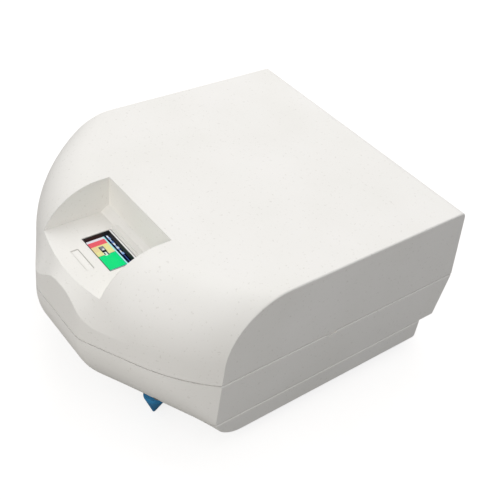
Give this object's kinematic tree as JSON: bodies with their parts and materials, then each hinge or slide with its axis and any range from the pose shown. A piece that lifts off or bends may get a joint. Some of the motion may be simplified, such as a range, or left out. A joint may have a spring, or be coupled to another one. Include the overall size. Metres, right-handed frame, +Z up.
{
  "type": "fingerprint scanner terminal",
  "caption": "Desktop fingerprint scanner terminal: bowed cream housing with a finger recess, small sunk colour screen, flush scanning key, rear sockets and pointed rubber feet.",
  "frame": {"origin": "on the table, under the middle of the housing", "axes": "+Z up, +Y to the rear where the sockets are, +X to the right seen from the front"},
  "size_m": [0.15, 0.1814, 0.0847],
  "materials": {
    "cream_plastic": "moulded ABS, fine matte texture",
    "key_plastic": "moulded ABS, smoother than the case",
    "black_plastic": "moulded black ABS",
    "white_plastic": "moulded, semi-gloss",
    "cover_glass": "clear, polished",
    "screen_panel": "lit colour panel",
    "display_steel": "pressed sheet",
    "foam": "closed-cell foam",
    "amber_film": "polyimide film",
    "sensor_black": "coated sensor",
    "switch_black": "moulded nylon",
    "spring_steel": "stamped spring steel",
    "board_green": "solder mask over glass fibre",
    "chip_black": "moulded epoxy",
    "screw_steel": "zinc plated",
    "brass": "knurled",
    "socket_steel": "tinned shell",
    "socket_black": "moulded",
    "pin_steel": "plated",
    "can_alloy": "sleeved can",
    "header_cream": "moulded nylon",
    "ribbon_grey": "PVC ribbon",
    "wire_red": "PVC insulation",
    "battery_wrap": "heat-shrink sleeve",
    "strap_steel": "zinc plated sheet",
    "cell_steel": "nickel plated",
    "blue_rubber": "moulded rubber, satin"
  },
  "bodies": {
    "housing": {"upper_shell": "cream_plastic", "lower_shell": "cream_plastic", "base_tray": "cream_plastic", "window_gasket": "black_plastic", "window_trim": "white_plastic", "display_lens": "cover_glass", "display_panel": "screen_panel", "display_can": "display_steel", "display_pad": "foam", "display_flex": "amber_film", "key_switch": "switch_black", "switch_dome": "spring_steel", "front_board": "board_green", "front_board_sockets": "header_cream", "front_board_screws": "screw_steel", "main_board": "board_green", "main_board_screws": "screw_steel", "network_socket": "socket_steel", "usb_socket": "socket_steel", "power_inlet": "socket_black", "inlet_pin": "pin_steel", "processor_chip": "chip_black", "memory_chips": "chip_black", "capacitors": "can_alloy", "buzzer": "chip_black", "cell_holder": "socket_black", "coin_cell": "cell_steel", "ribbon_header": "header_cream", "battery_socket": "header_cream", "ribbon_cable": "ribbon_grey", "battery_lead": "wire_red", "battery_pack": "battery_wrap", "battery_strap": "strap_steel", "battery_strap_screws": "screw_steel", "front_case_screws": "screw_steel", "rear_case_screws": "screw_steel", "thread_inserts": "brass", "foot_front_left": "blue_rubber", "foot_front_right": "blue_rubber", "foot_rear_left": "blue_rubber", "foot_rear_right": "blue_rubber"},
    "key": {"finger_key": "key_plastic", "sensor_module": "sensor_black", "sensor_flex": "amber_film"},
    "plunger": {"switch_plunger": "switch_black"}
  },
  "joints": [
    {"name": "key_press", "type": "slide", "parent": "housing", "child": "key", "axis": [0, 0, -1], "range_m": [0, 0.0004], "stiffness_N_per_m": 1500},
    {"name": "plunger_slide", "type": "slide", "parent": "housing", "child": "plunger", "axis": [0, 0, -1], "range_m": [0, 0.0004], "deforming": ["switch_dome"]}
  ],
  "couplings": [
    {"joint": "plunger_slide", "follows": "key_press", "ratio": 1}
  ]
}
